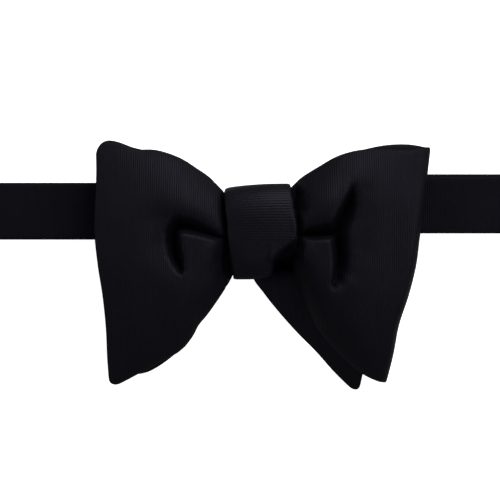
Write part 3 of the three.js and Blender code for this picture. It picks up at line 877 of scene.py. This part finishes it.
def ribbed_weave():
    group, given, made = new_group(
        "ribbed_weave",
        [("Place", "NodeSocketVector", None), ("Rib", "NodeSocketFloat", BOW_RIB),
         ("Thread", "NodeSocketFloat", THREAD)],
        ["Height", "Tone and groove shade"],
    )
    place = given.outputs["Place"]
    split = group.nodes.new("ShaderNodeSeparateXYZ")
    group.links.new(place, split.inputs[0])
    wander = sums(group, "MULTIPLY", noise_at(group, place, WANDER_SCALE), RIB_WANDER)
    along = sums(group, "ADD", split.outputs["X"], wander)
    rib = sums(group, "POWER", ribs(group, along, given.outputs["Rib"]), RIB_ROUND)
    thread = ribs(group, split.outputs["Y"], given.outputs["Thread"])
    height = blend(group, rib, RIB_SHARE, thread, THREAD_SHARE)
    group.links.new(height, made.inputs["Height"])
    stretch = group.nodes.new("ShaderNodeMapping")
    stretch.inputs["Scale"].default_value = SLUB_STRETCH
    group.links.new(place, stretch.inputs["Vector"])
    slub = noise_at(group, stretch.outputs[0], SLUB_SCALE, SOFT_DETAIL)
    cloudy = noise_at(group, place, CLOUD_SCALE, SOFT_DETAIL)
    tone = blend(group, slub, SLUB_SHARE, cloudy, CLOUD_SHARE)
    # Painted shade: scaling by the rib wave paints the grooves between the ribs darker
    groove_shade = sums(group, "ADD", sums(group, "MULTIPLY", rib, PAINTED_RIB_LIGHT), PAINTED_GROOVE_SHADE)
    group.links.new(sums(group, "MULTIPLY", tone, groove_shade), made.inputs["Tone and groove shade"])
    return group


weave_group = ribbed_weave()
print("weave nodes", len(weave_group.nodes))

# %% [markdown]
# Black silk isn't flat black. Its shadows are nearly black with a breath of blue, and its sheen is
# soft and broad because the ribs scatter it. The sheen is set on the shader itself, and the
# weave changes the colour, the roughness and the surface from point to point. The knot is pulled
# tight, so its ribs stand lower, and the band has less sheen than the bow.

# %% Silk
DEEP_SILK = (0.0012, 0.0011, 0.0021, 1)
PALE_SILK = (0.0060, 0.0056, 0.0092, 1)
SHEEN_TINT = (0.84, 0.80, 1.0, 1)
ROUGHNESS_RANGE = 0.08


def spread(tree, mask, at_none, at_full, target):
    """Turn a mask from 0 to 1 into a range of values for one of the shader's inputs."""
    node = tree.nodes.new("ShaderNodeMapRange")
    node.inputs["To Min"].default_value = at_none
    node.inputs["To Max"].default_value = at_full
    tree.links.new(mask, node.inputs["Value"])
    tree.links.new(node.outputs["Result"], target)


def silk(name, rib, rib_height, roughness, sheen):
    material, tree, shader = new_finish(name)
    uv = tree.nodes.new("ShaderNodeUVMap")
    uv.uv_map = "weave"
    weave = tree.nodes.new("ShaderNodeGroup")
    weave.node_tree = weave_group
    weave.inputs["Rib"].default_value = rib
    tree.links.new(uv.outputs["UV"], weave.inputs["Place"])
    colour = tree.nodes.new("ShaderNodeMix")
    colour.data_type = "RGBA"
    colour.inputs["A"].default_value = DEEP_SILK
    colour.inputs["B"].default_value = PALE_SILK
    # The colour mask holds the cloth's own slubs and clouds and a painted shade in the grooves between
    # the ribs
    tree.links.new(weave.outputs["Tone and groove shade"], colour.inputs["Factor"])
    tree.links.new(colour.outputs["Result"], shader.inputs["Base Color"])
    rougher, smoother = roughness + ROUGHNESS_RANGE, roughness - ROUGHNESS_RANGE
    spread(tree, weave.outputs["Tone and groove shade"], rougher, smoother, shader.inputs["Roughness"])
    bump = tree.nodes.new("ShaderNodeBump")
    bump.inputs["Distance"].default_value = rib_height * MM
    tree.links.new(weave.outputs["Height"], bump.inputs["Height"])
    tree.links.new(bump.outputs["Normal"], shader.inputs["Normal"])
    shader.inputs["Specular IOR Level"].default_value = sheen
    shader.inputs["Specular Tint"].default_value = SHEEN_TINT
    return material


bow_silk = silk("bow_silk", BOW_RIB, rib_height=0.12, roughness=0.44, sheen=0.10)
knot_silk = silk("knot_silk", KNOT_RIB, rib_height=0.08, roughness=0.42, sheen=0.10)
band_silk = silk("band_silk", BOW_RIB, rib_height=0.12, roughness=0.5, sheen=0.06)
for strip in (front_strip, back_strip):
    strip.data.materials.append(bow_silk)
knot_wrap.data.materials.append(knot_silk)
neckband.data.materials.append(band_silk)
print("silks", [m.name for m in (bow_silk, knot_silk, band_silk)])

# %% [markdown]
# The clasp is black enamel, a little worn: smooth with duller specks.

# %% Enamel
ENAMEL_COLOUR = (0.02, 0.02, 0.022, 1)
ENAMEL_SMOOTH, ENAMEL_DULL = 0.22, 0.42
WEAR_SCALE, WEAR_DETAIL = 900.0, 4.0

enamel, enamel_tree, enamel_shader = new_finish("black_enamel")
enamel_place = enamel_tree.nodes.new("ShaderNodeTexCoord").outputs["Object"]
enamel_wear = noise_at(enamel_tree, enamel_place, WEAR_SCALE, WEAR_DETAIL)
spread(enamel_tree, enamel_wear, ENAMEL_SMOOTH, ENAMEL_DULL, enamel_shader.inputs["Roughness"])
enamel_shader.inputs["Base Color"].default_value = ENAMEL_COLOUR
clasp.material_slots[0].material = enamel
print("enamel on", clasp.name)

# %% [markdown]
# Each silk piece stands for one imported solid and rides on the bow tie's one body, and that imported
# solid is hidden. The lengths, in metres, are set by hand: the wrap's and the band's are their runs
# once round. Those of the two strips are short of their runs out along a loop, back and on to the
# blade's end, whose medians are 183 mm for the back strip and 219 mm for the front strip.


def declare(piece, node):
    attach(piece, "root")
    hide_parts(node)


declare(back_strip, "back_bow")
declare(front_strip, "front_bow")
declare(knot_wrap, "knot")
declare(neckband, "neckband")
